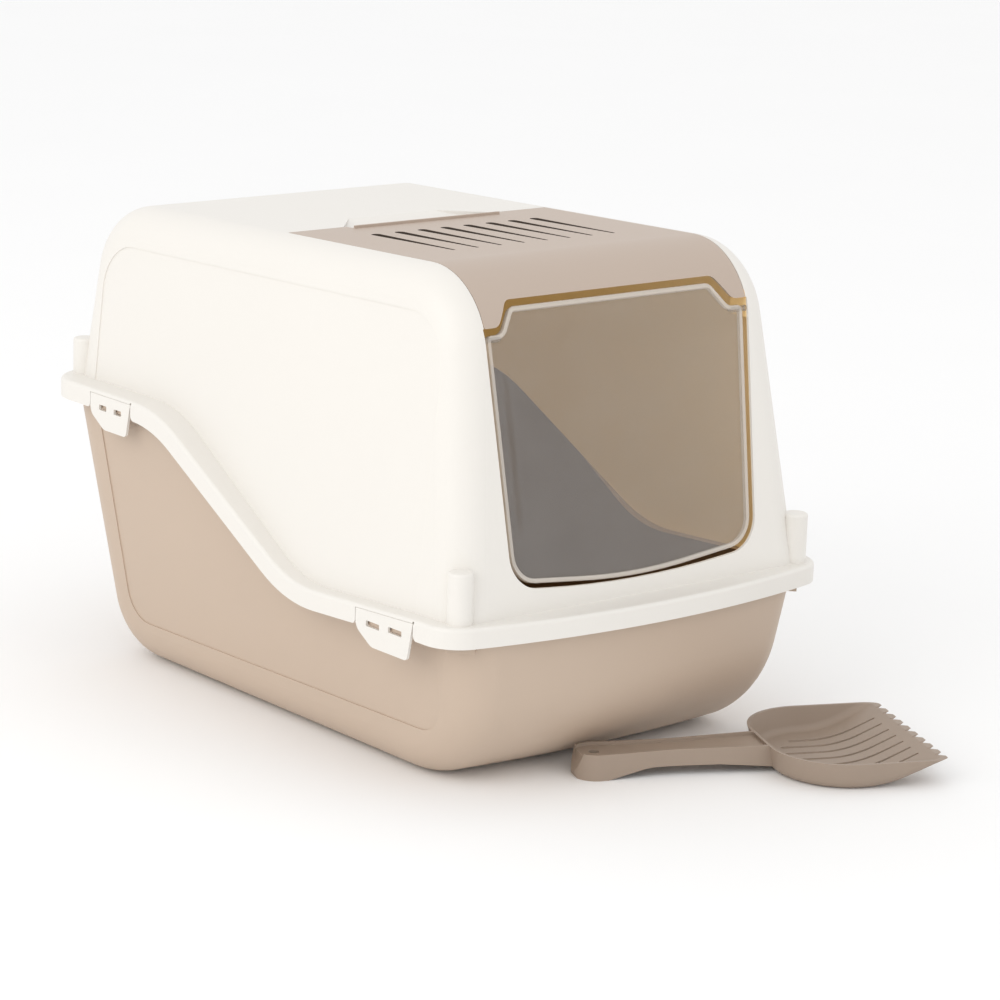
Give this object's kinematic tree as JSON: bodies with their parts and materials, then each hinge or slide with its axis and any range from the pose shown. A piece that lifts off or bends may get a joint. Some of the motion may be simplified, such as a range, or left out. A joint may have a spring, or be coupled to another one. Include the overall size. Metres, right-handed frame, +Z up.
{
  "type": "cat litter box with hood",
  "caption": "Hooded cat litter box: deep tray, clip-on hood with swinging smoked door flap, tip-up vent cover over a carbon filter, and a slotted scoop.",
  "frame": {"origin": "on the floor under the middle of the tray's rest face, at mid-width", "axes": "+Z up, the doorway faces -Y, +X to the right seen from the front"},
  "size_m": [0.4326, 0.7151, 0.397],
  "materials": {
    "warm_white_shell": "fine satin moulded polypropylene",
    "taupe_tub": "fine satin moulded polypropylene",
    "taupe_cover": "fine satin moulded polypropylene",
    "taupe_scoop": "satin moulded polypropylene",
    "smoked_flap": "smoked translucent polished sheet",
    "carbon_felt": "needled black carbon felt"
  },
  "bodies": {
    "tray": {"tray": "taupe_tub"},
    "hood": {"hood": "warm_white_shell", "carbon_filter": "carbon_felt"},
    "vent_cover": {"vent_cover": "taupe_cover"},
    "door_flap": {"door_flap": "smoked_flap"},
    "clip_front_left": {"clip_front_left": "warm_white_shell"},
    "clip_front_right": {"clip_front_right": "warm_white_shell"},
    "clip_rear_left": {"clip_rear_left": "warm_white_shell"},
    "clip_rear_right": {"clip_rear_right": "warm_white_shell"},
    "scoop": {"scoop": "taupe_scoop"}
  },
  "joints": [
    {"name": "hood_lift", "type": "slide", "parent": "tray", "child": "hood", "axis": [0, 0, 1], "range_m": [0, 0.3]},
    {"name": "cover_hinge", "type": "hinge", "parent": "hood", "child": "vent_cover", "pos_m": [0, -0.20982, 0.362], "axis": [1, 0, 0], "range_deg": [0, 80]},
    {"name": "flap_swing", "type": "hinge", "parent": "hood", "child": "door_flap", "pos_m": [0, -0.21802, 0.347], "axis": [1, 0, 0], "range_deg": [-80, 70]},
    {"name": "clip_front_left_flex", "type": "hinge", "parent": "hood", "child": "clip_front_left", "pos_m": [-0.1939, -0.1875, 0.13598], "axis": [0, 0.9986, -0.0523], "range_deg": [0, 20], "stiffness_Nm_per_rad": 0.4},
    {"name": "clip_front_right_flex", "type": "hinge", "parent": "hood", "child": "clip_front_right", "pos_m": [0.1939, -0.1875, 0.13598], "axis": [0, -0.9986, 0.0523], "range_deg": [0, 20], "stiffness_Nm_per_rad": 0.4},
    {"name": "clip_rear_left_flex", "type": "hinge", "parent": "hood", "child": "clip_rear_left", "pos_m": [-0.1939, 0.18725, 0.2321], "axis": [0, 1, 0], "range_deg": [0, 20], "stiffness_Nm_per_rad": 0.4},
    {"name": "clip_rear_right_flex", "type": "hinge", "parent": "hood", "child": "clip_rear_right", "pos_m": [0.1939, 0.18725, 0.2321], "axis": [0, -1, 0], "range_deg": [0, 20], "stiffness_Nm_per_rad": 0.4},
    {"name": "scoop_pick_up", "type": "slide", "parent": "tray", "child": "scoop", "axis": [0, -0.9, 0.4359], "range_m": [0, 0.25]}
  ]
}
